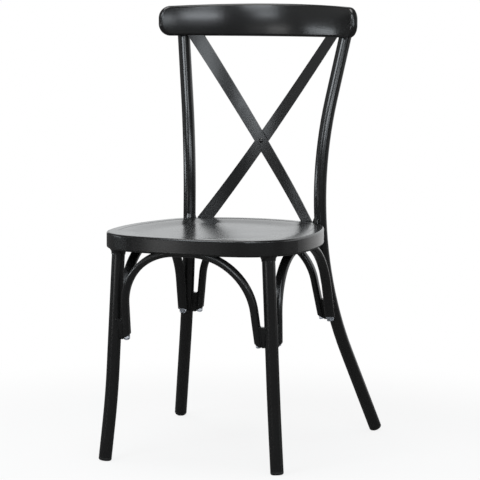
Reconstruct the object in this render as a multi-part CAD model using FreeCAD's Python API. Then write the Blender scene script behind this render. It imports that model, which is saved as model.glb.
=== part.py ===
import FreeCAD, Part
import math
import os

Vector = FreeCAD.Vector
UP = Vector(0, 0, 1)

# Side chair of welded steel: round tube legs and posts, a pressed seat pan,
# a bowed crest rail over two crossed straps, and four arches of flat-oval
# tube between the legs. The front faces -Y and the floor is at z = 0.

# Heights above the floor
seat_height = 445.1
chair_height = 883.0

# Gap left between curved faces that are welded or fitted together
fit = 0.3

# How far a cutting shape reaches past what it cuts
spare = 20.0

# Seat pan, pressed from sheet
sheet = 1.5
seat_depth = 427.5
seat_front = 274.0
apron = 31.4
rim_round = 4.0
lip = 5.0
front_bow = 540.0
front_corner = 114.0
front_corner_x = 83.0
side_bow = 433.0
rear_corner = 114.0
rear_corner_x = 61.0
rear_bow = 235.0
border = 20.0
step_width = 2.0
step_depth = 0.6
dish_width = 62.0
dish_depth = 5.0

# Round tube of the legs and posts
tube = 25.4
tube_wall = 1.5

# Back posts: upright at the waist, bent backwards above and below it
post_bearing = 40.0
waist_rise = 53.0
upper_turn = 15.3
upper_bearing = 34.2
top_straight = 162.5
lower_bend = 716.0
lower_turn = 26.9
lower_bearing = 28.5
post_top_drop = 33.0

# Front legs: spread outwards, with a gentle knee
leg_inset = 18.2
leg_bearing = 47.3
leg_spread = 2.72
leg_rake = 0.55
knee_height = 130.0
knee_bend = 1500.0
foot_spread = 4.79
foot_rake = 4.14
collar_flare = 4.8
collar_height = 9.6
collar_edge = 0.8

# Glides under the tubes and plugs in the tops of the posts
glide_height = 6.0
glide_round = 4.0
glide_wear = 0.6
plug_stem = 20.0
cap_height = 2.5
cap_round = 1.5

# Crest rail
crest_height = 67.0
crest_thickness = 16.0
crest_bow = 300.0
crest_half_width = 214.0
crest_corner = 25.0
crest_round = 6.0
crest_front_swell = 2.6
crest_back_swell = 0.8
crest_crown = 7.0
saddle_depth = 7.0

# Crossed straps and the rivet that joins them
strap_width = 24.4
strap_thickness = 3.5
strap_head_out = 146.3
crossing_height = 604.0
strap_lap = 17.0
strap_forward = 2.6
tenon = 8.0
rivet_hole = 5.2
rivet_shank = 5.0
rivet_head = 9.6
rivet_dome = 2.4

# Arches of flat-oval tube, with lugs to the legs and clear bumpers
arch_width = 20.0
arch_thickness = 14.0
foot_bevel = 9.6
arch_wall = 1.5
front_foot_height = 245.8
rear_foot_height = 250.5
cross_arch_height = 417.0
side_arch_height = 411.5
front_arch_corner = 117.0
front_arch_splay = 3.0
front_arch_lean = 14.0
rear_arch_corner = 110.0
rear_arch_splay = 8.8
rear_arch_lean = 9.7
side_arch_run = 51.7
side_arch_corner_step = 12.0
side_arch_front_splay = 2.8
side_arch_rear_splay = 15.0
side_arch_lean = 1.9
front_arch_lug = 6.3
rear_arch_lug = 9.0
side_front_lug = 13.5
side_rear_lug = 7.5
lug_width = 12.0
lug_height = 42.0
bumper_width = 14.0
bumper_drop = 6.5
bumper_stem = 12.0
bumper_round = 1.2

# Welds in front of the posts, on the rim of the seat
weld_height = 8.6
weld_reach = 6.0
weld_half_angle = 38.0

tube_radius = tube / 2
arch_half = arch_thickness / 2
apron_bottom = seat_height - apron
seat_back = seat_depth - seat_front
bow_centre = Vector(0, seat_back - rear_bow, 0)
waist_height = seat_height + waist_rise
crest_bottom = chair_height - crest_height
strap_angle = math.degrees(math.atan(strap_head_out / (crest_bottom - crossing_height)))
upper_rise = chair_height - post_top_drop - waist_height
upper_rise = upper_rise - top_straight * math.cos(math.radians(upper_turn))
upper_bend = upper_rise / math.sin(math.radians(upper_turn))


def flat(bearing, size=1.0):
    # Horizontal vector at a bearing, in degrees from +Y towards +X
    angle = math.radians(bearing)
    return Vector(math.sin(angle) * size, math.cos(angle) * size, 0)


def at_height(point, z):
    return Vector(point.x, point.y, z)


def tilted(heading, side, degrees):
    # Heading turned towards a side that is square to it
    angle = math.radians(degrees)
    return heading * math.cos(angle) + side * math.sin(angle)


def bend(start, heading, side, radius, degrees):
    # Arc that leaves start along heading and turns towards side
    centre = start + side * radius
    middle = centre - tilted(side, -heading, degrees / 2) * radius
    end = centre - tilted(side, -heading, degrees) * radius
    return Part.Arc(start, middle, end).toShape(), end, tilted(heading, side, degrees)


def line(start, end):
    return Part.LineSegment(start, end).toShape()


def disc(centre, axis, radius):
    return Part.Face(Part.Wire(Part.Circle(centre, axis, radius).toShape()))


def swept_tube(edges, heading, outer, inner):
    # Round tube along a path that starts with the given heading
    path = Part.Wire(edges)
    start = edges[0].Vertexes[0].Point
    body = path.makePipe(disc(start, heading, outer))
    if inner > 0:
        body = body.cut(path.makePipe(disc(start, heading, inner)))
    return body


def largest(shape):
    return max(shape.Solids, key=lambda solid: solid.Volume)


def mirrored(shape):
    return shape.mirror(Vector(0, 0, 0), Vector(1, 0, 0))


def turned(points, base, axis, degrees=360.0):
    # Solid of revolution from a closed wire
    face = Part.Face(points)
    return face.revolve(base, axis, degrees)


# Seat pan
def bearing_of(vector):
    return math.degrees(math.atan2(vector.x, vector.y))


front_reach = front_bow - front_corner
front_centre = Vector(front_corner_x, front_bow - seat_front, 0)
front_centre.y -= math.sqrt(front_reach ** 2 - front_corner_x ** 2)
rear_reach = rear_bow - rear_corner
rear_centre = Vector(rear_corner_x, bow_centre.y, 0)
rear_centre.y += math.sqrt(rear_reach ** 2 - rear_corner_x ** 2)


def side_bow_centre():
    # The bow of the right side touches the front and the rear corner from outside
    span = rear_centre - front_centre
    near = side_bow - front_corner
    far = side_bow - rear_corner
    along = (near ** 2 - far ** 2 + span.Length ** 2) / (2 * span.Length)
    away = math.sqrt(near ** 2 - along ** 2)
    ahead = Vector(span).normalize()
    return front_centre + ahead * along + Vector(-ahead.y, ahead.x, 0) * away


def seat_outline(inset, z):
    # Eight arcs that run into each other: bowed front, sides and back, and round corners
    side_centre = side_bow_centre()
    bearings = [
        180 - math.degrees(math.asin(front_corner_x / front_reach)),
        bearing_of(front_centre - side_centre),
        bearing_of(rear_centre - side_centre),
        math.degrees(math.asin(rear_corner_x / rear_reach)),
    ]
    centres = [front_centre, side_centre, rear_centre]
    radii = [front_corner - inset, side_bow - inset, rear_corner - inset]
    right = []
    left = []
    for centre, radius, start, end in zip(centres, radii, bearings, bearings[1:]):
        points = []
        for bearing in (start, (start + end) / 2, end):
            points.append(at_height(centre + flat(bearing, radius), z))
        mirror = [Vector(-point.x, point.y, z) for point in reversed(points)]
        right.append(Part.Arc(points[0], points[1], points[2]).toShape())
        left.insert(0, Part.Arc(mirror[0], mirror[1], mirror[2]).toShape())
    nose = Vector(0, inset - seat_front, z)
    tail = Vector(0, seat_back - inset, z)
    first = right[0].Vertexes[0].Point
    last = right[-1].Vertexes[-1].Point
    front = Part.Arc(Vector(-first.x, first.y, z), nose, first).toShape()
    back = Part.Arc(last, tail, Vector(-last.x, last.y, z)).toShape()
    return Part.Wire([front] + right + [back] + left)


def seat_block(inset, bottom, top, radius):
    block = Part.Face(seat_outline(inset, bottom)).extrude(UP * (top - bottom))
    rims = []
    for edge in block.Edges:
        levels = [vertex.Z for vertex in edge.Vertexes]
        if max(levels) - min(levels) < 0.01:
            rims.append(edge)
    return block.makeFillet(radius, rims)


def dish_profile():
    # The pressed top from the border inwards, as insets and falls: a small step, then a soft dish
    profile = [(border, 0.0)]
    steps = 8
    for step in range(steps + 1):
        share = step / steps
        soft = (1 - math.cos(math.pi * share)) / 2
        fall = step_depth + (dish_depth - step_depth) * soft
        profile.append((border + step_width + dish_width * share, fall))
    return profile


def dish(drop):
    # Space above the pressed top inside the border
    above = spare / 20
    back_off = above * step_width / step_depth
    sections = [seat_outline(border - back_off, seat_height + above - drop)]
    for inset, fall in dish_profile()[1:]:
        sections.append(seat_outline(inset, seat_height - fall - drop))
    return Part.makeLoft(sections, True, True)


def seat_pan(passing):
    outer = seat_block(0, apron_bottom, seat_height, rim_round)
    inner_round = rim_round - sheet
    inner = seat_block(sheet, apron_bottom + sheet, seat_height - sheet, inner_round)
    mouth = Part.Face(seat_outline(lip, apron_bottom - 1)).extrude(UP * (sheet + 3))
    pan = outer.cut(dish(0)).cut(inner.cut(dish(sheet))).cut(mouth)
    for shape in passing:
        pan = pan.cut(shape)
    return largest(pan)


# Back posts
def lower_offset(z):
    # How far the lower bend has carried the post outwards at a height
    fall = waist_height - z
    full = lower_bend * math.sin(math.radians(lower_turn))
    inside = min(fall, full)
    offset = lower_bend - math.sqrt(lower_bend ** 2 - inside ** 2)
    return offset + (fall - inside) * math.tan(math.radians(lower_turn))


rim_level = seat_height - rim_round
rim_centre = rear_centre + flat(post_bearing, rear_corner + tube_radius + fit)
waist = at_height(rim_centre - flat(lower_bearing, lower_offset(rim_level)), waist_height)


def post_centre(z):
    # Centre of the right post at a height below the waist
    return at_height(waist + flat(lower_bearing, lower_offset(z)), z)


def post_heading(z):
    # Direction of the lower bend, pointing down, at a height inside that bend
    fall = waist_height - z
    turn = min(math.degrees(math.asin(min(fall / lower_bend, 1))), lower_turn)
    return tilted(-UP, flat(lower_bearing), turn)


def glide_level(turn):
    # Height of the centre of a glide's lower face when its edge rests on the floor
    angle = math.radians(turn)
    standing = (tube_radius - glide_round) * math.sin(angle)
    return standing + glide_round * (1 - math.cos(angle)) - glide_wear


def post_ends():
    # Ends of the straight tail and of the straight top, with their directions
    arc, point, heading = bend(waist, -UP, flat(lower_bearing), lower_bend, lower_turn)
    fall = point.z - glide_level(lower_turn)
    foot = point + heading * (fall / -heading.z - glide_height)
    top_arc, top_point, top_heading = bend(waist, UP, flat(upper_bearing), upper_bend, upper_turn)
    top = top_point + top_heading * top_straight
    return foot, heading, top, top_heading


def post(outer, inner, beyond=0.0):
    foot, down, top, upward = post_ends()
    low_arc, low_point, heading = bend(waist, -UP, flat(lower_bearing), lower_bend, lower_turn)
    high_arc, high_point, heading = bend(waist, UP, flat(upper_bearing), upper_bend, upper_turn)
    edges = [
        line(foot, low_point),
        Part.Arc(low_point, middle_of(low_arc), waist).toShape(),
        high_arc,
        line(high_point, top + upward * beyond),
    ]
    return swept_tube(edges, -down, outer, inner)


def middle_of(arc):
    return arc.valueAt((arc.FirstParameter + arc.LastParameter) / 2)


# Front legs
leg_reach = front_corner - leg_inset
leg_joint = at_height(front_centre + flat(180 - leg_bearing, leg_reach), apron_bottom)


def leg_direction(spread, rake):
    # Pointing down, outwards by the spread and forwards by the rake
    out = math.tan(math.radians(spread))
    ahead = math.tan(math.radians(rake))
    return Vector(out, -ahead, -1).normalize()


def leg_centre(z):
    # Centre of the right leg at a height above the knee
    down = leg_direction(leg_spread, leg_rake)
    return leg_joint + down * ((leg_joint.z - z) / -down.z)


def dish_fall(inset):
    # How far the pressed top lies below the border, at a distance from the outline
    profile = dish_profile()
    fall = 0.0
    for (near, high), (far, low) in zip(profile, profile[1:]):
        share = min(max((inset - near) / (far - near), 0), 1)
        fall = fall + share * (low - high)
    return fall


def leg_ends():
    down = leg_direction(leg_spread, leg_rake)
    low = leg_direction(foot_spread, foot_rake)
    under = dish_fall(leg_inset + tube_radius + 1)
    top = leg_centre(seat_height - sheet - under - fit)
    knee = leg_centre(knee_height)
    turn = math.degrees(math.acos(-low.z))
    fall = knee.z - glide_level(turn)
    foot = knee + low * (fall / -low.z - glide_height)
    return top, down, knee, foot, low


def leg(outer, inner):
    top, down, knee, foot, low = leg_ends()
    turn = down.getAngle(low)
    reach = knee_bend * math.tan(turn / 2)
    before = knee - down * reach
    after = knee + low * reach
    side = (low - down * low.dot(down)).normalize()
    arc, end, heading = bend(before, down, side, knee_bend, math.degrees(turn))
    edges = [line(top, before), arc, line(end, foot)]
    return swept_tube(edges, down, outer, inner)


def leg_collar():
    # Weld fillet that flares from the leg to the underside of the apron
    down = leg_direction(leg_spread, leg_rake)
    side = (flat(90) - down * flat(90).dot(down)).normalize()
    inner = tube_radius + fit
    high = leg_joint - down * 2
    low = leg_joint + down * collar_height
    wide = leg_joint + side * (inner + collar_flare)
    thin = low + side * (inner + collar_edge)
    waist_point = leg_joint + down * (collar_height * 0.4) + side * (inner + collar_flare * 0.34)
    profile = Part.Wire([
        line(high + side * inner, high + side * (inner + collar_flare)),
        line(high + side * (inner + collar_flare), wide),
        Part.Arc(wide, waist_point, thin).toShape(),
        line(thin, low + side * inner),
        line(low + side * inner, high + side * inner),
    ])
    ring = turned(profile, leg_joint, down)
    above = Part.makeBox(4 * tube, 4 * tube, spare, leg_joint - Vector(2 * tube, 2 * tube, 0))
    return largest(ring.cut(above))


# Glides and plugs
def glide(end, down):
    # Flange under the tube with a rounded lower edge, and a stem inside the tube
    side = down.cross(flat(0)).normalize()
    stem = tube_radius - tube_wall - fit
    corner = glide_round * (1 - math.sqrt(0.5))
    bottom = end + down * glide_height
    edge_low = bottom + side * (tube_radius - glide_round)
    edge_mid = bottom - down * corner + side * (tube_radius - corner)
    edge_high = bottom - down * glide_round + side * tube_radius
    head = end - down * plug_stem
    profile = Part.Wire([
        line(head, head + side * stem),
        line(head + side * stem, end + side * stem),
        line(end + side * stem, end + side * tube_radius),
        line(end + side * tube_radius, edge_high),
        Part.Arc(edge_high, edge_mid, edge_low).toShape(),
        line(edge_low, bottom),
        line(bottom, head),
    ])
    solid = turned(profile, end, down)
    corner = Vector(end.x - 2 * tube, end.y - 2 * tube, -spare)
    floor = Part.makeBox(4 * tube, 4 * tube, spare, corner)
    return largest(solid.cut(floor))


def post_cap(end, upward):
    side = upward.cross(flat(0)).normalize()
    stem = tube_radius - tube_wall - fit
    corner = cap_round * (1 - math.sqrt(0.5))
    crown = end + upward * cap_height
    rim = tube_radius - 0.5
    edge_low = crown - upward * cap_round + side * rim
    edge_mid = crown - upward * corner + side * (rim - corner)
    edge_high = crown + side * (rim - cap_round)
    root = end - upward * plug_stem
    profile = Part.Wire([
        line(root, root + side * stem),
        line(root + side * stem, end + side * stem),
        line(end + side * stem, end + side * rim),
        line(end + side * rim, edge_low),
        Part.Arc(edge_low, edge_mid, edge_high).toShape(),
        line(edge_high, crown),
        line(crown, root),
    ])
    return turned(profile, end, upward)


# Crest rail
def upper_post_centre(z):
    # Centre of the right post at a height on its straight top
    foot, down, top, upward = post_ends()
    return top - upward * ((top.z - z) / upward.z)


def crest_centre():
    near = upper_post_centre(crest_bottom)
    reach = crest_bow + crest_thickness / 2 + tube_radius - saddle_depth
    return Vector(0, near.y - math.sqrt(reach ** 2 - near.x ** 2), 0)


def crest_rail(passing):
    # Bowed rail with swelling faces, a crowned top, round ends and soft edges
    centre = crest_centre()
    outer = crest_bow + crest_thickness / 2
    inner = crest_bow - crest_thickness / 2
    core = outer - crest_round
    swing = math.asin((crest_half_width - crest_round) / math.hypot(core, crest_round))
    half = math.degrees(swing + math.atan(crest_round / core))
    start = flat(-half)
    low = at_height(centre, crest_bottom)
    middle = low + UP * (crest_height / 2)
    high = low + UP * crest_height
    section = Part.Wire([
        Part.Arc(low + start * (inner + crest_front_swell), middle + start * inner,
                 high + start * (inner + crest_front_swell)).toShape(),
        line(high + start * (inner + crest_front_swell), high + start * (outer - crest_back_swell)),
        Part.Arc(high + start * (outer - crest_back_swell), middle + start * outer,
                 low + start * (outer - crest_back_swell)).toShape(),
        line(low + start * (outer - crest_back_swell), low + start * (inner + crest_front_swell)),
    ])
    slab = turned(section, low, -UP, 2 * half)
    wide = crest_half_width + spare
    crown_r = (crest_half_width ** 2 + crest_crown ** 2) / (2 * crest_crown)
    sag = crown_r - math.sqrt(crown_r ** 2 - wide ** 2)
    brink = chair_height - sag
    sky = chair_height + spare
    above = Part.Face(Part.Wire([
        Part.Arc(Vector(-wide, 0, brink), Vector(0, 0, chair_height), Vector(wide, 0, brink)).toShape(),
        line(Vector(wide, 0, brink), Vector(wide, 0, sky)),
        line(Vector(wide, 0, sky), Vector(-wide, 0, sky)),
        line(Vector(-wide, 0, sky), Vector(-wide, 0, brink)),
    ])).extrude(Vector(0, chair_height, 0))
    slab = slab.cut(above)
    corners = []
    for edge in slab.Edges:
        ends = [vertex.Point - centre for vertex in edge.Vertexes]
        bearings = [abs(bearing_of(point)) for point in ends]
        sides = [math.hypot(point.x, point.y) - crest_bow for point in ends]
        if min(bearings) > half - 0.1 and sides[0] * sides[-1] < 0:
            corners.append(edge)
    slab = slab.makeFillet(crest_corner, corners)
    rims = []
    for edge in slab.Edges:
        ends = [vertex.Point - centre for vertex in edge.Vertexes]
        sides = [math.hypot(point.x, point.y) - crest_bow for point in ends]
        if sides[0] * sides[-1] > 0:
            rims.append(edge)
    slab = slab.makeFillet(crest_round, rims)
    for shape in passing:
        slab = slab.cut(shape)
    return largest(slab)


# Crossed straps
def back_line(z):
    # The bowed back in its middle: how far back it lies at a height, and its slope there
    low = bow_centre.y + rear_bow + fit + strap_thickness / 2
    lean = crest_centre().y + crest_bow - strap_forward - low
    rise = crest_bottom - waist_height
    radius = (rise ** 2 + lean ** 2) / (2 * lean)
    angle = math.asin(max(z - waist_height, 0) / radius)
    return low + radius * (1 - math.cos(angle)), angle


def back_surface(shift, room):
    # Bowed sheet from the seat's apron to the crest rail, through horizontal sections
    low_bow = rear_bow + fit + strap_thickness / 2
    half = strap_thickness / 2 + room
    rise = crest_bottom - waist_height
    top = crest_bottom + 1.5 * tenon
    bottom = apron_bottom - tenon
    steps = 8
    levels = [bottom, (bottom + waist_height) / 2]
    for step in range(steps + 1):
        levels.append(waist_height + (top - waist_height) * step / steps)
    sections = []
    for z in levels:
        y, slope = back_line(z)
        bow = low_bow + (crest_bow - low_bow) * max(z - waist_height, 0) / rise
        reach = crossing_height - seat_height
        if z > crossing_height:
            reach = crest_bottom - crossing_height
        away = min(abs(z - crossing_height) / reach, 1)
        bulge = shift * math.cos(away * math.pi / 2) ** 2
        centre = Vector(0, y - bow + bulge, z)
        turn = math.degrees(math.asin((crest_half_width - spare) / bow))
        ends = []
        for side in (half, -half):
            for bearing in (-turn, 0, turn):
                ends.append(centre + flat(bearing, bow + side))
        sections.append(Part.Wire([
            Part.Arc(ends[0], ends[1], ends[2]).toShape(),
            line(ends[2], ends[5]),
            Part.Arc(ends[5], ends[4], ends[3]).toShape(),
            line(ends[3], ends[0]),
        ]))
    return Part.makeLoft(sections, True, False)


def strap(side, room=0.0):
    # Straight band of the bowed sheet, rising towards the given side
    shift = side * (strap_thickness + fit) / 2
    lean = math.tan(math.radians(strap_angle)) * side
    half = strap_width / 2 / math.cos(math.radians(strap_angle)) + room
    bottom = seat_height - strap_lap
    top = crest_bottom + tenon + room
    corners = []
    for z, away in ((bottom, -half), (bottom, half), (top, half), (top, -half)):
        corners.append(Vector((z - crossing_height) * lean + away, -seat_depth, z))
    through = Vector(0, seat_depth + chair_height, 0)
    band = Part.Face(Part.makePolygon(corners + corners[:1])).extrude(through)
    return largest(back_surface(shift, room).common(band))


def crossing():
    # Middle of the crossing and the square direction to the front
    y, slope = back_line(crossing_height)
    return Vector(0, y, crossing_height), Vector(0, -math.cos(slope), math.sin(slope))


def rivet():
    # Domed heads on both faces and a shank through the straps
    middle, ahead = crossing()
    side = flat(90)
    grip = strap_thickness + fit
    dome = (rivet_head ** 2 / 4 + rivet_dome ** 2) / (2 * rivet_dome)
    head = rivet_head / 2
    swing = math.asin(head / dome) / 2
    mid_out = dome * math.sin(swing)
    mid_up = rivet_dome - dome * (1 - math.cos(swing))
    near = middle + ahead * grip
    far = middle - ahead * grip
    profile = Part.Wire([
        line(far - ahead * rivet_dome, near + ahead * rivet_dome),
        Part.Arc(near + ahead * rivet_dome, near + ahead * mid_up + side * mid_out,
                 near + side * head).toShape(),
        line(near + side * head, near + side * (rivet_shank / 2)),
        line(near + side * (rivet_shank / 2), far + side * (rivet_shank / 2)),
        line(far + side * (rivet_shank / 2), far + side * head),
        Part.Arc(far + side * head, far - ahead * mid_up + side * mid_out,
                 far - ahead * rivet_dome).toShape(),
    ])
    return turned(profile, middle, ahead)


def rivet_bore():
    middle, ahead = crossing()
    return Part.makeCylinder(rivet_hole / 2, 2 * spare, middle - ahead * spare, ahead)


# Arches
def oval(centre, wide_axis, thin_axis, width, thickness):
    # Flat-oval outline: straight flanks joined by half circles
    r = thickness / 2
    half = width / 2 - r
    a = centre + wide_axis * half + thin_axis * r
    b = centre + wide_axis * half - thin_axis * r
    c = centre - wide_axis * half - thin_axis * r
    d = centre - wide_axis * half + thin_axis * r
    return Part.Wire([
        Part.Arc(a, centre + wide_axis * (width / 2), b).toShape(),
        line(b, c),
        Part.Arc(c, centre - wide_axis * (width / 2), d).toShape(),
        line(d, a),
    ])


class Arch:
    # An arch in a plane: along runs from the first foot to the second, up rises in the plane

    def __init__(self, feet, along, up, crown, splays, corners):
        self.along = along
        self.up = up
        self.out = along.cross(up)
        self.feet = feet
        self.splays = splays
        self.corners = corners
        self.rise = [(crown - foot.z) / up.z for foot in feet]

    def heading(self, index):
        # Direction of a leg of the arch, pointing up
        inward = self.along * (1 - 2 * index)
        return tilted(self.up, inward, self.splays[index])

    def inward(self, index):
        inward = self.along * (1 - 2 * index)
        return tilted(inward, -self.up, self.splays[index])

    def edges(self, overrun):
        halves = []
        for index in (0, 1):
            foot = self.feet[index]
            splay = math.radians(self.splays[index])
            radius = self.corners[index]
            length = (self.rise[index] - radius * (1 - math.sin(splay))) / math.cos(splay)
            heading = self.heading(index)
            shoulder = foot + heading * length
            turn = 90 - self.splays[index]
            arc, top, level = bend(shoulder, heading, self.inward(index), radius, turn)
            halves.append((foot - heading * overrun, shoulder, arc, top))
        first, second = halves
        back = Part.Arc(second[3], middle_of(second[2]), second[1]).toShape()
        return [
            line(first[0], first[1]),
            first[2],
            line(first[3], second[3]),
            back,
            line(second[1], second[0]),
        ]

    def sweep(self, width, thickness, overrun):
        edges = self.edges(overrun)
        start = self.feet[0] - self.heading(0) * overrun
        outline = oval(start, self.out, self.inward(0), width, thickness)
        return Part.Wire(edges).makePipe(Part.Face(outline))

    def body(self):
        # Hollow tube with its feet cut at a bevel, lower on the leg's side
        overrun = arch_thickness + 2
        outer = self.sweep(arch_width, arch_thickness, overrun)
        inner = self.sweep(arch_width - 2 * arch_wall, arch_thickness - 2 * arch_wall, overrun)
        shape = outer.cut(inner)
        for index in (0, 1):
            foot = self.feet[index] - self.out * arch_width
            reach = 2 * arch_thickness
            high = self.heading(index) * (reach * foot_bevel / arch_thickness)
            side = self.inward(index) * reach
            corners = [foot - side - high, foot + side + high, foot + side - high]
            wedge = Part.Face(Part.makePolygon(corners + corners[:1]))
            shape = shape.cut(wedge.extrude(self.out * (2 * arch_width)))
        return shape

    def passage(self, gap):
        # The room that the tube takes up, with a gap all round it
        return self.sweep(arch_width + 2 * gap, arch_thickness + 2 * gap, arch_thickness + 2)

    def lug(self, index, carrier, room, carrier_room):
        # Short block between a foot of the arch and the leg that carries it
        heading = self.heading(index)
        foot = self.feet[index] - heading * arch_half
        near = foot + heading * (lug_height / 2)
        far = carrier(near.z)
        gap = at_height(far - near, 0)
        side = gap.cross(UP).normalize() * (lug_width / 2)
        shift = foot - near
        corners = [near - side, near + side, near + gap + side, near + gap - side]
        base = [corner + shift for corner in corners]
        block = Part.Face(Part.makePolygon(base + base[:1])).extrude(heading * lug_height)
        return largest(block.cut(room).cut(carrier_room))

    def bumper(self, index):
        heading = self.heading(index)
        thickness = arch_thickness - 2 * arch_wall - 2 * fit
        start = self.feet[index] - heading * bumper_drop
        outline = oval(start, self.out, self.inward(index), bumper_width, thickness)
        plug = Part.Face(outline).extrude(heading * (bumper_drop + bumper_stem))
        low = []
        for edge in plug.Edges:
            heights = [(vertex.Point - start).dot(heading) for vertex in edge.Vertexes]
            if max(heights) < 0.01:
                low.append(edge)
        return plug.makeFillet(bumper_round, low)


def foot_reach(lug):
    # From the centre of a leg to the centre of the arch beside it
    return tube_radius + lug + arch_half


def front_arch():
    near = leg_centre(front_foot_height)
    half = near.x - foot_reach(front_arch_lug)
    feet = [Vector(-half, near.y, near.z), Vector(half, near.y, near.z)]
    up = tilted(UP, flat(180), front_arch_lean)
    splay = front_arch_splay
    return Arch(feet, flat(90), up, cross_arch_height, [splay, splay], [front_arch_corner] * 2)


def rear_arch():
    near = post_centre(rear_foot_height)
    half = near.x - foot_reach(rear_arch_lug)
    feet = [Vector(-half, near.y, near.z), Vector(half, near.y, near.z)]
    up = tilted(UP, flat(180), rear_arch_lean)
    splay = rear_arch_splay
    return Arch(feet, flat(90), up, cross_arch_height, [splay, splay], [rear_arch_corner] * 2)


def side_arch():
    # On the right, from the front leg to the post
    ahead = leg_centre(front_foot_height)
    behind = post_centre(rear_foot_height)
    up = tilted(UP, flat(-90), side_arch_lean)
    first = ahead + flat(0, foot_reach(side_front_lug))
    rise = rear_foot_height - front_foot_height
    second = first + up * (rise / up.z)
    second.y = behind.y - foot_reach(side_rear_lug)
    splays = [side_arch_front_splay, side_arch_rear_splay]
    # The corners fill what the splayed feet and the straight run at the crown leave
    left = second.y - first.y - side_arch_run
    shares = []
    for foot, splay in ((first, splays[0]), (second, splays[1])):
        angle = math.radians(splay)
        left = left - (side_arch_height - foot.z) / up.z * math.tan(angle)
        shares.append((1 - math.sin(angle)) / math.cos(angle))
    front_corner = (left - side_arch_corner_step * shares[1]) / (shares[0] + shares[1])
    corners = [front_corner, front_corner + side_arch_corner_step]
    return Arch([first, second], flat(0), up, side_arch_height, splays, corners)


# Welds at the rim of the seat
def post_weld():
    # Fillet on the seat side of the post that climbs from the rim of the pan
    base = post_centre(seat_height)
    upward = post_heading(seat_height) * -1
    inward = rear_centre - at_height(base, 0)
    side = (inward - upward * inward.dot(upward)).normalize()
    inner = tube_radius + fit
    low = base - upward * rim_round
    wide = low + side * (inner + weld_reach)
    top = base + upward * weld_height + side * (inner + 0.6)
    hollow = base + upward * (weld_height * 0.3) + side * (inner + weld_reach * 0.5)
    crown = base + upward * weld_height + side * inner
    profile = Part.Wire([
        line(low + side * inner, wide),
        Part.Arc(wide, hollow, top).toShape(),
        line(top, crown),
        line(crown, low + side * inner),
    ])
    ring = turned(profile, base, upward, 2 * weld_half_angle)
    ring.rotate(base, upward, -weld_half_angle)
    return largest(ring.cut(seat_block(-0.2, apron_bottom, seat_height + 0.1, rim_round)))


# Assembly
def both(name, shape):
    return {name + "_right": shape, name + "_left": mirrored(shape)}


def pair(shapes):
    return Part.makeCompound(shapes)


inner_radius = tube_radius - tube_wall
post_room = post(tube_radius + fit, 0, spare)
leg_room = leg(tube_radius + fit, 0)
front = front_arch()
rear = rear_arch()
side = side_arch()
front_room = front.passage(fit)
rear_room = rear.passage(fit)
side_room = side.passage(fit)
bore = rivet_bore()

pieces = {}
passing = [leg_room, mirrored(leg_room), post_room, mirrored(post_room)]
passing = passing + [front_room, rear_room, side_room, mirrored(side_room)]
pieces["seat_pan"] = seat_pan(passing)
pieces.update(both("back_post", post(tube_radius, inner_radius)))
pieces.update(both("front_leg", leg(tube_radius, inner_radius)))
pieces.update(both("leg_collar", leg_collar()))
pieces.update(both("post_weld", post_weld()))

foot, down, top, upward = post_ends()
pieces.update(both("rear_glide", glide(foot, down)))
pieces.update(both("post_cap", post_cap(top, upward)))
top, down, knee, foot, low = leg_ends()
pieces.update(both("front_glide", glide(foot, low)))

strap_front = strap(-1).cut(post_room).cut(mirrored(post_room)).cut(bore)
strap_rear = strap(1).cut(post_room).cut(mirrored(post_room)).cut(bore)
pieces["strap_front"] = largest(strap_front)
pieces["strap_rear"] = largest(strap_rear)
pieces["strap_rivet"] = rivet()
slots = [strap(-1, fit), strap(1, fit), post_room, mirrored(post_room)]
pieces["crest_rail"] = crest_rail(slots)

pieces["front_arch"] = front.body()
pieces["rear_arch"] = rear.body()
pieces.update(both("side_arch", side.body()))
lug = front.lug(1, leg_centre, front_room, leg_room)
pieces["front_arch_lugs"] = pair([lug, mirrored(lug)])
lug = rear.lug(1, post_centre, rear_room, post_room)
pieces["rear_arch_lugs"] = pair([lug, mirrored(lug)])
lugs = [side.lug(0, leg_centre, side_room, leg_room), side.lug(1, post_centre, side_room, post_room)]
pieces.update(both("side_arch_lugs", pair(lugs)))
bumper = front.bumper(1)
pieces["front_arch_bumpers"] = pair([bumper, mirrored(bumper)])
bumper = rear.bumper(1)
pieces["rear_arch_bumpers"] = pair([bumper, mirrored(bumper)])
pieces.update(both("side_arch_bumpers", pair([side.bumper(0), side.bumper(1)])))

# The origin is on the floor, midway between the foremost and rearmost points
box = Part.makeCompound(list(pieces.values())).optimalBoundingBox(False, False)
centring = Vector(0, -(box.YMin + box.YMax) / 2, 0)
os.makedirs("parts", exist_ok=True)
for name, shape in pieces.items():
    shape.translate(centring)
    shape.exportStep("parts/" + name + ".step")
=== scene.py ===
import bpy, bmesh, math
from mathutils import Matrix, Vector


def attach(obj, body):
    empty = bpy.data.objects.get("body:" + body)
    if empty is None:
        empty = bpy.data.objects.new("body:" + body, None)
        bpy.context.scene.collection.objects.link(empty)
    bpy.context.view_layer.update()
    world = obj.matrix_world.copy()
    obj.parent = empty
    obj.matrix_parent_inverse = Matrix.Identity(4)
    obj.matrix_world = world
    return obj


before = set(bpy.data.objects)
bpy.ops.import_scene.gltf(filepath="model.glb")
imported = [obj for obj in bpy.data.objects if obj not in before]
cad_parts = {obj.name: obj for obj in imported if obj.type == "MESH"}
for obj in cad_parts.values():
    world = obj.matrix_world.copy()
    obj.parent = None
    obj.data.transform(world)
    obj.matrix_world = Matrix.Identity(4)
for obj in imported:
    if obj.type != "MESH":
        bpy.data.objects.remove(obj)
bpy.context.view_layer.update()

# Camera: where the photograph was taken from, a little above the crest rail
# and to the right of the chair, looking slightly down. The focal length is in
# pixels of the picture, the turns are in radians.
picture_size = 480
focal_length = 2224
stand = (1.5676, -4.11127, 0.9046)
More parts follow.
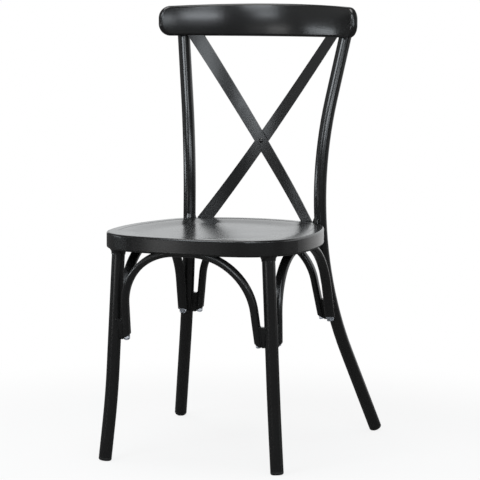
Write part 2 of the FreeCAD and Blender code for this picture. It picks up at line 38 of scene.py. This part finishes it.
yaw, pitch, roll = -0.36119, -0.11072, 0.00458
view = bpy.data.cameras.new("photo_camera")
view.sensor_width = 36
view.lens = focal_length * view.sensor_width / picture_size
view.clip_start = 0.1
view.clip_end = 60
camera = bpy.data.objects.new("photo_camera", view)
bpy.context.scene.collection.objects.link(camera)
level = Vector((math.cos(yaw), -math.sin(yaw), 0))
look = Vector((math.sin(yaw), math.cos(yaw), 0)) * math.cos(pitch)
look.z = math.sin(pitch)
rise = level.cross(look)
right = level * math.cos(roll) + rise * math.sin(roll)
up = rise * math.cos(roll) - level * math.sin(roll)
turn = Matrix((right, up, -look)).transposed().to_4x4()
camera.matrix_world = Matrix.Translation(stand) @ turn
bpy.context.scene.camera = camera
bpy.context.scene.render.resolution_x = picture_size
bpy.context.scene.render.resolution_y = picture_size
bpy.context.scene.view_settings.view_transform = "Standard"

# Room: a photographer's studio. Camera and clear plastic see plain white all
# round and matt surfaces get an even light. Glossy ones reflect a dim hall with
# the white backdrop behind the chair and a faint wall on the viewer's left.
dim_hall = 0.12
even_light = 0.5
faintly_blue = (0.97, 0.99, 1, 1)
world = bpy.data.worlds.new("studio")
bpy.context.scene.world = world
world.use_nodes = True
air = world.node_tree
air.nodes.clear()


def reckon(tree, kind, *values):
    """The result of one sum on numbers or sockets."""
    node = tree.nodes.new("ShaderNodeMath")
    node.operation = kind
    for slot, value in zip(node.inputs, values):
        if isinstance(value, (int, float)):
            slot.default_value = value
        else:
            tree.links.new(value, slot)
    return node.outputs[0]


def fade(tree, distance, inner, outer):
    """1 up to the inner distance, falling smoothly to 0 at the outer one."""
    node = tree.nodes.new("ShaderNodeMapRange")
    node.interpolation_type = "SMOOTHSTEP"
    tree.links.new(distance, node.inputs["Value"])
    node.inputs["From Min"].default_value = outer
    node.inputs["From Max"].default_value = inner
    return node.outputs["Result"]


def patch_of_light(tree, bearing, round_to, half_wide, soft):
    """1 within so many degrees of a bearing, with a soft edge on both sides."""
    away = reckon(tree, "SUBTRACT", bearing, math.radians(round_to))
    away = reckon(tree, "ABSOLUTE", reckon(tree, "WRAP", away, math.pi, -math.pi))
    return fade(tree, away, math.radians(half_wide), math.radians(half_wide + soft))


def either(tree, share, first, second):
    """The first shader, giving way to the second as the share goes to 1."""
    node = tree.nodes.new("ShaderNodeMixShader")
    for slot, value in zip(node.inputs, (share, first, second)):
        tree.links.new(value, slot)
    return node.outputs[0]


def backdrop(colour, strength):
    """A plain background; its strength is a number or a socket."""
    node = air.nodes.new("ShaderNodeBackground")
    node.inputs["Color"].default_value = colour
    if isinstance(strength, (int, float)):
        node.inputs["Strength"].default_value = strength
    else:
        air.links.new(strength, node.inputs["Strength"])
    return node.outputs[0]


ways = air.nodes.new("ShaderNodeTexCoord")
axes = air.nodes.new("ShaderNodeSeparateXYZ")
air.links.new(ways.outputs["Generated"], axes.inputs[0])
ahead = reckon(air, "MULTIPLY", axes.outputs["Y"], -1)
bearing = reckon(air, "ARCTAN2", axes.outputs["X"], ahead)
height = reckon(air, "ARCSINE", axes.outputs["Z"])
glare = 0.0
# Bearing from straight in front towards the viewer's right, height above the
# horizon, half width, half height and soft edge in degrees, then brightness
for round_to, above, half_wide, half_high, soft, bright in (
    (160, 10, 55, 18, 12, 1.0),
    (-72, 14, 24, 8, 12, 0.25),
):
    across = patch_of_light(air, bearing, round_to, half_wide, soft)
    off = reckon(air, "ABSOLUTE", reckon(air, "SUBTRACT", height, math.radians(above)))
    along = fade(air, off, math.radians(half_high), math.radians(half_high + soft))
    patch = reckon(air, "MULTIPLY", across, along)
    glare = reckon(air, "MULTIPLY_ADD", patch, bright, glare)
reflected = backdrop(faintly_blue, reckon(air, "ADD", glare, dim_hall))
even = backdrop((1, 1, 1, 1), even_light)
white = backdrop((1, 1, 1, 1), 1.0)
ray = air.nodes.new("ShaderNodeLightPath").outputs
clearly = reckon(air, "MAXIMUM", ray["Is Camera Ray"], ray["Is Transmission Ray"])
seen = either(air, clearly, either(air, ray["Is Glossy Ray"], even, reflected), white)
out = air.nodes.new("ShaderNodeOutputWorld")
air.links.new(seen, out.inputs[0])

# Soft boxes: a tall key light high in front, a low and a high one near the
# camera on the right, a narrow one further round, two small ones towards the
# left, and a panel overhead for the soft shadow. The camera does not see them.
cool_white = (0.89, 0.95, 1)
# Bearing in degrees, distance, lowest and highest edge and width in metres,
# then brightness
for name, round_to, distance, low, high, wide, bright in (
    ("key_light", -15, 1.9, 1.35, 2.4, 0.9, 9.0),
    ("right_light", 34, 1.9, 0.85, 1.14, 1.05, 9.0),
    ("right_high_light", 29, 1.9, 1.35, 2.3, 0.65, 5.4),
    ("far_right_light", 62, 1.9, 0.68, 1.0, 0.4, 6.4),
    ("centre_light", -20, 1.9, 0.95, 1.15, 0.6, 7.4),
    ("left_low_light", -72, 1.8, 0.45, 0.57, 0.95, 9.8),
):
    lamp = bpy.data.lights.new(name, "AREA")
    lamp.color = cool_white
    lamp.shape = "RECTANGLE"
    lamp.size, lamp.size_y = wide, high - low
    lamp.energy = bright * math.pi * lamp.size * lamp.size_y
    turned = math.radians(round_to)
    ahead = Vector((math.sin(turned), -math.cos(turned), 0))
    place = ahead * distance + Vector((0, 0, (low + high) / 2))
    light = bpy.data.objects.new(name, lamp)
    aim = (-ahead).to_track_quat("-Z", "Y").to_matrix().to_4x4()
    light.matrix_world = Matrix.Translation(place) @ aim
    light.visible_camera = False
    bpy.context.scene.collection.objects.link(light)
lamp = bpy.data.lights.new("overhead_panel", "AREA")
lamp.shape = "RECTANGLE"
lamp.size, lamp.size_y = 1.6, 1.2
lamp.energy = 30
light = bpy.data.objects.new("overhead_panel", lamp)
light.matrix_world = Matrix.Translation((-0.3, -0.2, 2.7))
light.visible_camera = False
bpy.context.scene.collection.objects.link(light)

# Floor: a pale sheet that runs on into the white backdrop. It keeps the
# chair's soft shadow near the feet and shows plain white further out. Glossy
# pieces reflect it dim, with lit stretches.
floor_reach = 9
shadow_share = 0.16
shadow_to, white_from = 0.5, 1.1
dim_floor = 0.13
edge = 0.3
bm = bmesh.new()
bmesh.ops.create_grid(bm, x_segments=1, y_segments=1, size=floor_reach)
mesh = bpy.data.meshes.new("floor")
bm.to_mesh(mesh)
bm.free()
floor = bpy.data.objects.new("floor", mesh)
bpy.context.scene.collection.objects.link(floor)
sheet = bpy.data.materials.new("floor_sheet")
sheet.use_nodes = True
tree = sheet.node_tree
tree.nodes.clear()
matt = tree.nodes.new("ShaderNodeBsdfDiffuse")
matt.inputs["Color"].default_value = (0.62, 0.62, 0.62, 1)
glow = tree.nodes.new("ShaderNodeEmission")
glow.inputs["Strength"].default_value = 1.0
place = tree.nodes.new("ShaderNodeTexCoord")
spread = tree.nodes.new("ShaderNodeVectorMath")
spread.operation = "LENGTH"
tree.links.new(place.outputs["Object"], spread.inputs[0])
reach = spread.outputs["Value"]
axes = tree.nodes.new("ShaderNodeSeparateXYZ")
tree.links.new(place.outputs["Object"], axes.inputs[0])
ahead = reckon(tree, "MULTIPLY", axes.outputs["Y"], -1)
bearing = reckon(tree, "ARCTAN2", axes.outputs["X"], ahead)
daylight = 0.0
# Bearing of each lit stretch of floor, its half width and soft edge in degrees,
# where it starts and ends in metres, and its brightness
for round_to, half_wide, soft, start, end, bright in (
    (-29, 5, 6, 3.4, 6, 4.0),
    (-12, 6, 5, 3.4, 6, 0.9),
    (170, 12, 24, 2.7, 9, 0.8),
):
    across = patch_of_light(tree, bearing, round_to, half_wide, soft)
    beyond = fade(tree, reach, start + edge, start)
    within = fade(tree, reach, end, end + edge)
    patch = reckon(tree, "MULTIPLY", across, reckon(tree, "MULTIPLY", beyond, within))
    daylight = reckon(tree, "MULTIPLY_ADD", patch, bright, daylight)
lit = tree.nodes.new("ShaderNodeEmission")
tree.links.new(reckon(tree, "ADD", daylight, dim_floor), lit.inputs["Strength"])
ray = tree.nodes.new("ShaderNodeLightPath").outputs
clearly = reckon(tree, "MAXIMUM", ray["Is Camera Ray"], ray["Is Transmission Ray"])
near = fade(tree, reach, shadow_to, white_from)
keep = reckon(tree, "MULTIPLY", reckon(tree, "MULTIPLY_ADD", near, -shadow_share, 1.0), clearly)
seen = either(tree, keep, either(tree, ray["Is Glossy Ray"], matt.outputs[0], lit.outputs[0]),
              glow.outputs[0])
out = tree.nodes.new("ShaderNodeOutputMaterial")
tree.links.new(seen, out.inputs[0])
floor.data.materials.append(sheet)


# Seat pan: one pressed sheet of steel with a rounded rim, a stepped border and
# a shallow dish, under satin black powder coat. The coat is the same on all of
# the frame, a little smoother or rougher from piece to piece.
def mottle(tree, scale, detail=2):
    """A fine uneven grain of this scale, fixed to the piece."""
    place = tree.nodes.new("ShaderNodeTexCoord")
    node = tree.nodes.new("ShaderNodeTexNoise")
    node.inputs["Scale"].default_value = scale
    node.inputs["Detail"].default_value = detail
    tree.links.new(place.outputs["Object"], node.inputs["Vector"])
    return node.outputs["Fac"]


def rough_between(tree, grain, smooth, rough):
    """Let the grain move the finish's roughness from smooth to rough."""
    node = tree.nodes.new("ShaderNodeMapRange")
    node.inputs["To Min"].default_value = smooth
    node.inputs["To Max"].default_value = rough
    tree.links.new(grain, node.inputs["Value"])
    tree.links.new(node.outputs["Result"], tree.nodes["Principled BSDF"].inputs["Roughness"])


def raise_grain(tree, grain, depth, height):
    """Let the grain lift the surface: how strongly, and by how many metres."""
    node = tree.nodes.new("ShaderNodeBump")
    node.inputs["Strength"].default_value = depth
    node.inputs["Distance"].default_value = height
    tree.links.new(grain, node.inputs["Height"])
    tree.links.new(node.outputs["Normal"], tree.nodes["Principled BSDF"].inputs["Normal"])


def powder_coat(name, smooth, rough, peel_depth):
    """Black powder coat: near-black pigment, fine orange peel, gloss that
    drifts a little over the surface where the powder lay thicker."""
    coat = bpy.data.materials.new(name)
    coat.use_nodes = True
    tree = coat.node_tree
    raise_grain(tree, mottle(tree, 420), peel_depth, 0.0003)
    drift = mottle(tree, 11, 5)
    rough_between(tree, drift, smooth, rough)
    pigment = tree.nodes.new("ShaderNodeValToRGB")
    pigment.color_ramp.elements[0].color = (0.0055, 0.0055, 0.0055, 1)
    pigment.color_ramp.elements[1].color = (0.0075, 0.0074, 0.0072, 1)
    tree.links.new(drift, pigment.inputs["Fac"])
    tree.links.new(pigment.outputs["Color"], tree.nodes["Principled BSDF"].inputs["Base Color"])
    return coat


def finish_nodes(material, *parts):
    """Give the named pieces of the frame this finish."""
    for name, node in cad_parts.items():
        if any(part in name for part in parts):
            node.data.materials.clear()
            node.data.materials.append(material)


pan_coat = powder_coat("seat_powder_coat", 0.20, 0.26, 0.008)
finish_nodes(pan_coat, "seat_pan")

# Legs and back posts: bent round steel tube, welded to the pan through small
# flared fillets, powder coated with the rest of the frame.
tube_coat = powder_coat("tube_powder_coat", 0.17, 0.23, 0.008)
finish_nodes(tube_coat, "front_leg", "back_post", "leg_collar", "post_weld")

# Arches and their lugs: flat-oval steel tube bent under the seat, each foot
# held to its leg by a short welded lug.
arch_coat = powder_coat("arch_powder_coat", 0.23, 0.31, 0.01)
finish_nodes(arch_coat, "front_arch", "rear_arch", "side_arch")

# Welds along the lugs: short runs of fillet weld down both edges of each lug
# and across its top, on the leg and on the arch, under the same coat. The bead
# thins between its ripples and at its ends.
weld_width = 0.0036
ripple = 0.0017
valley = 0.82
thin_end = 0.5
bead_sides = 8


def weld_run(bm, start, end):
    """One run of weld between two points in millimetres: a round bead with a
    ripple at every step of the rod, closed at both ends."""
    start, end = Vector(start) / 1000, Vector(end) / 1000
    rings = 2 * round((end - start).length / ripple)
    aim = (end - start).to_track_quat("Z", "X").to_matrix()
    before = None
    for count in range(rings + 1):
        thick = thin_end if count in (0, rings) else 1.0 if count % 2 else valley
        ring = []
        for corner in range(bead_sides):
            turned = math.radians(360 / bead_sides * corner)
            out = Vector((math.cos(turned), math.sin(turned), 0)) * thick * weld_width / 2
            ring.append(bm.verts.new(start.lerp(end, count / rings) + aim @ out))
        if before is None:
            bm.faces.new(ring)
        else:
            for corner in range(bead_sides):
                bm.faces.new((before[corner - 1], before[corner], ring[corner], ring[corner - 1]))
        before = ring
    bm.faces.new(before)


def weld_piece(name, paths, coat):
    """Welds along paths given on the viewer's right, and the same on the left."""
    bm = bmesh.new()
    for path in paths:
        for start, end in zip(path, path[1:]):
            weld_run(bm, start, end)
            weld_run(bm, (-start[0], *start[1:]), (-end[0], *end[1:]))
    bmesh.ops.recalc_face_normals(bm, faces=bm.faces)
    for face in bm.faces:
        face.smooth = True
    mesh = bpy.data.meshes.new(name)
    bm.to_mesh(mesh)
    bm.free()
    piece = bpy.data.objects.new(name, mesh)
    bpy.context.scene.collection.objects.link(piece)
    piece.data.materials.append(coat)
    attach(piece, "root")


# Corners of each lug in millimetres: up one edge, across the top, down the other,
# first on the leg's side and then on the arch's
weld_piece("front_lug_welds", (
    ((153.4, -208.0, 240.5), (147.1, -217.4, 277.0),
     (154.5, -229.0, 279.2), (149.0, -220.6, 240.5)),
    ((143.0, -213.2, 240.5), (140.9, -223.0, 279.7),
     (140.6, -231.0, 279.7), (142.6, -221.6, 240.5)),
), arch_coat)
weld_piece("rear_lug_welds", (
    ((151.2, 163.6, 245.0), (147.7, 156.6, 284.6),
     (144.1, 144.8, 284.6), (152.7, 151.5, 245.0)),
    ((142.1, 164.2, 245.0), (135.7, 157.2, 284.6),
     (135.2, 145.9, 284.6), (141.4, 152.7, 245.0)),
), arch_coat)
weld_piece("side_lug_front_welds", (
    ((167.5, -206.2, 240.5), (166.1, -206.1, 280.7),
     (154.1, -205.7, 280.7), (155.5, -206.4, 240.5)),
    ((167.5, -191.8, 240.5), (166.2, -189.8, 280.7),
     (154.2, -189.8, 280.7), (155.6, -191.8, 240.5)),
), arch_coat)
weld_piece("side_lug_rear_welds", (
    ((167.2, 146.7, 245.0), (165.8, 137.9, 284.3),
     (153.9, 134.5, 284.3), (155.2, 149.0, 245.0)),
    ((167.3, 139.2, 245.0), (166.0, 128.7, 284.3),
     (154.0, 128.5, 284.3), (155.3, 138.9, 245.0)),
), arch_coat)

# Straps: two flat steel bands bowed round the back, crossed and riveted, their
# feet lapped behind the seat's apron and welded along the lower edge.
strap_coat = powder_coat("strap_powder_coat", 0.23, 0.30, 0.008)
finish_nodes(strap_coat, "strap_")
weld_piece("strap_foot_welds", (
    ((107.2, 129.6, 427.4), (119.0, 123.2, 427.4), (130.6, 116.4, 427.4)),
), strap_coat)

# Crest rail: a broad bowed top rail with swelling faces and rounded ends, the
# posts let into its back and welded round their heads.
crest_coat = powder_coat("crest_powder_coat", 0.20, 0.26, 0.006)
finish_nodes(crest_coat, "crest_rail")
weld_piece("post_head_welds", (
    ((180.3, 157.2, 821.8), (179.1, 158.4, 829.9), (177.0, 160.0, 837.9), (172.0, 163.6, 844.4),
     (166.8, 167.0, 837.9), (164.4, 168.2, 829.9), (162.9, 168.9, 821.8)),
), crest_coat)

# Glides and post plugs: matt black moulded plastic with a faint grain, under
# the four feet and in the upper ends of the posts.
plastic = bpy.data.materials.new("black_glide")
plastic.use_nodes = True
grain = mottle(plastic.node_tree, 1400)
raise_grain(plastic.node_tree, grain, 0.15, 0.0002)
rough_between(plastic.node_tree, grain, 0.42, 0.58)
shine = plastic.node_tree.nodes["Principled BSDF"]
shine.inputs["Base Color"].default_value = (0.009, 0.009, 0.009, 1)
finish_nodes(plastic, "glide", "post_cap")

# Bumpers in the feet of the arches: soft clear plastic plugs, slightly cloudy,
# that keep stacked chairs from scratching.
clear = bpy.data.materials.new("clear_bumper")
clear.use_nodes = True
rough_between(clear.node_tree, mottle(clear.node_tree, 300), 0.12, 0.25)
shine = clear.node_tree.nodes["Principled BSDF"]
shine.inputs["Base Color"].default_value = (0.6, 0.63, 0.68, 1)
shine.inputs["Transmission Weight"].default_value = 0.8
shine.inputs["IOR"].default_value = 1.45
finish_nodes(clear, "bumper")
